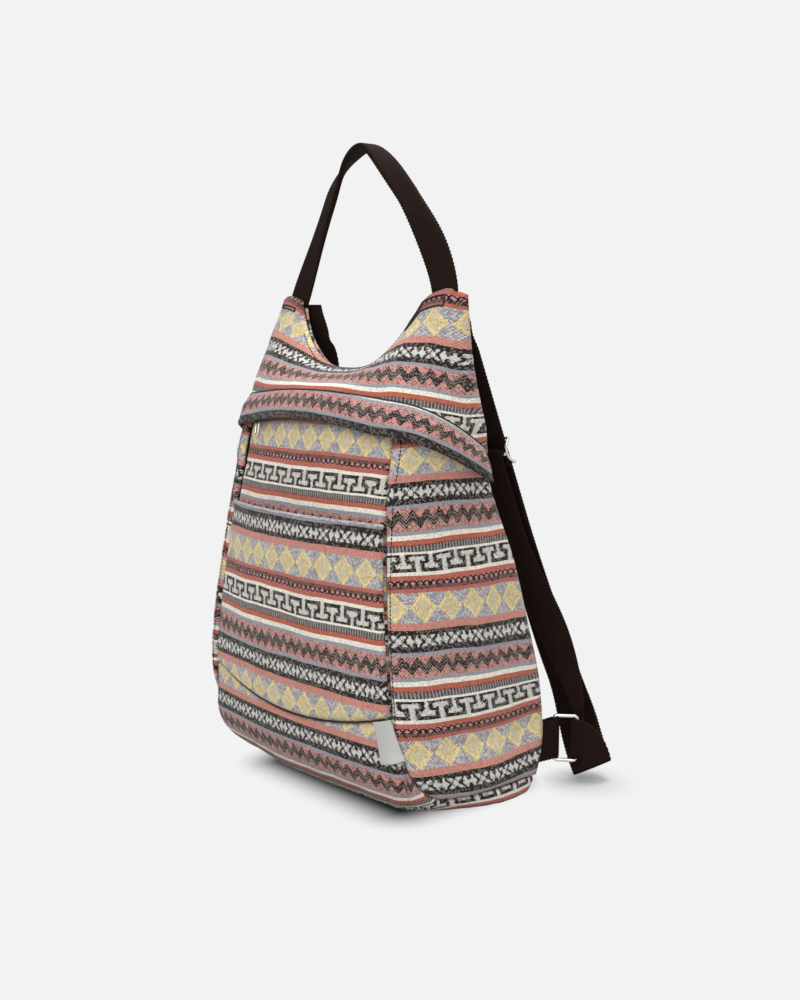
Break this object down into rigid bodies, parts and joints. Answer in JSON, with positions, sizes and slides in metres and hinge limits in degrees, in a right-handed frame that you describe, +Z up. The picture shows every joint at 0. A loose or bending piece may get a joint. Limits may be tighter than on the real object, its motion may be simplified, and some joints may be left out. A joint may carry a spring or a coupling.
{
  "type": "anti-theft backpack",
  "caption": "Small soft backpack of patterned woven cloth with a webbing carry handle, a slip pocket, a flap over the front zip, a back zip against the wearer and adjustable shoulder straps.",
  "frame": {"origin": "on the floor under the base, below the middle between the two horns", "axes": "+Z up, -Y towards the front with the slip pocket, +X to the right as seen from the front"},
  "size_m": [0.3028, 0.2057, 0.4792],
  "materials": {
    "woven_cloth": "banded jacquard weave, matt",
    "lining": "plain dark lining",
    "zip_tape": "woven tape",
    "zip_coil": "nylon coil",
    "webbing": "ribbed cotton webbing",
    "nickel": "polished nickel",
    "label_satin": "smooth woven label, bare"
  },
  "bodies": {
    "bag": {"base_panel": "woven_cloth", "front_panel": "woven_cloth", "slip_pocket": "woven_cloth", "side_panel_right": "woven_cloth", "side_panel_left": "woven_cloth", "yoke_panel": "woven_cloth", "front_flap": "woven_cloth", "back_panel_upper": "woven_cloth", "back_panel_lower": "woven_cloth", "front_pocket_lining": "lining", "front_zip_tape_upper": "zip_tape", "front_zip_tape_lower": "zip_tape", "front_zip_coil": "zip_coil", "back_zip_tape_upper": "zip_tape", "back_zip_tape_lower": "zip_tape", "back_zip_coil": "zip_coil", "carry_handle": "webbing", "strap_main_right": "webbing", "strap_main_left": "webbing", "strap_return_right": "webbing", "strap_return_left": "webbing", "anchor_loop_right": "webbing", "anchor_loop_left": "webbing", "label": "label_satin"},
    "front_zip_slider": {"front_zip_slider": "nickel"},
    "front_zip_puller": {"front_zip_puller": "nickel"},
    "back_zip_slider": {"back_zip_slider": "nickel"},
    "back_zip_puller": {"back_zip_puller": "nickel"},
    "ring_right": {"ring_right": "nickel"},
    "ring_left": {"ring_left": "nickel"},
    "adjuster_right": {"adjuster_right": "nickel"},
    "adjuster_left": {"adjuster_left": "nickel"}
  },
  "joints": [
    {"name": "front_zip_run", "type": "hinge", "parent": "bag", "child": "front_zip_slider", "pos_m": [0, 0.24393, 0.07394], "axis": [0, 0.5765, 0.8171], "range_deg": [0, 22.9]},
    {"name": "front_puller_swing", "type": "hinge", "parent": "front_zip_slider", "child": "front_zip_puller", "pos_m": [-0.07286, -0.04899, 0.28003], "axis": [-0.1839, -0.9611, 0.206], "range_deg": [-30, 30]},
    {"name": "back_zip_run", "type": "slide", "parent": "bag", "child": "back_zip_slider", "axis": [-1, 0, 0], "range_m": [0, 0.1939]},
    {"name": "back_puller_swing", "type": "hinge", "parent": "back_zip_slider", "child": "back_zip_puller", "pos_m": [0.09697, 0.03326, 0.20542], "axis": [0, 0.9352, 0.354], "range_deg": [-60, 60]},
    {"name": "ring_right_swing", "type": "hinge", "parent": "bag", "child": "ring_right", "pos_m": [0.119, 0.0874, 0.032], "axis": [0, 0, 1], "range_deg": [-25, 15], "deforming": ["strap_return_right"]},
    {"name": "ring_left_swing", "type": "hinge", "parent": "bag", "child": "ring_left", "pos_m": [-0.119, 0.0874, 0.032], "axis": [0, 0, -1], "range_deg": [-25, 15], "deforming": ["strap_return_left"]},
    {"name": "adjuster_right_slide", "type": "slide", "parent": "bag", "child": "adjuster_right", "axis": [0.0233, 0.3646, -0.9309], "range_m": [-0.045, 0.03], "deforming": ["strap_return_right"]},
    {"name": "adjuster_left_slide", "type": "slide", "parent": "bag", "child": "adjuster_left", "axis": [-0.0233, 0.3646, -0.9309], "range_m": [-0.045, 0.03], "deforming": ["strap_return_left"]}
  ]
}
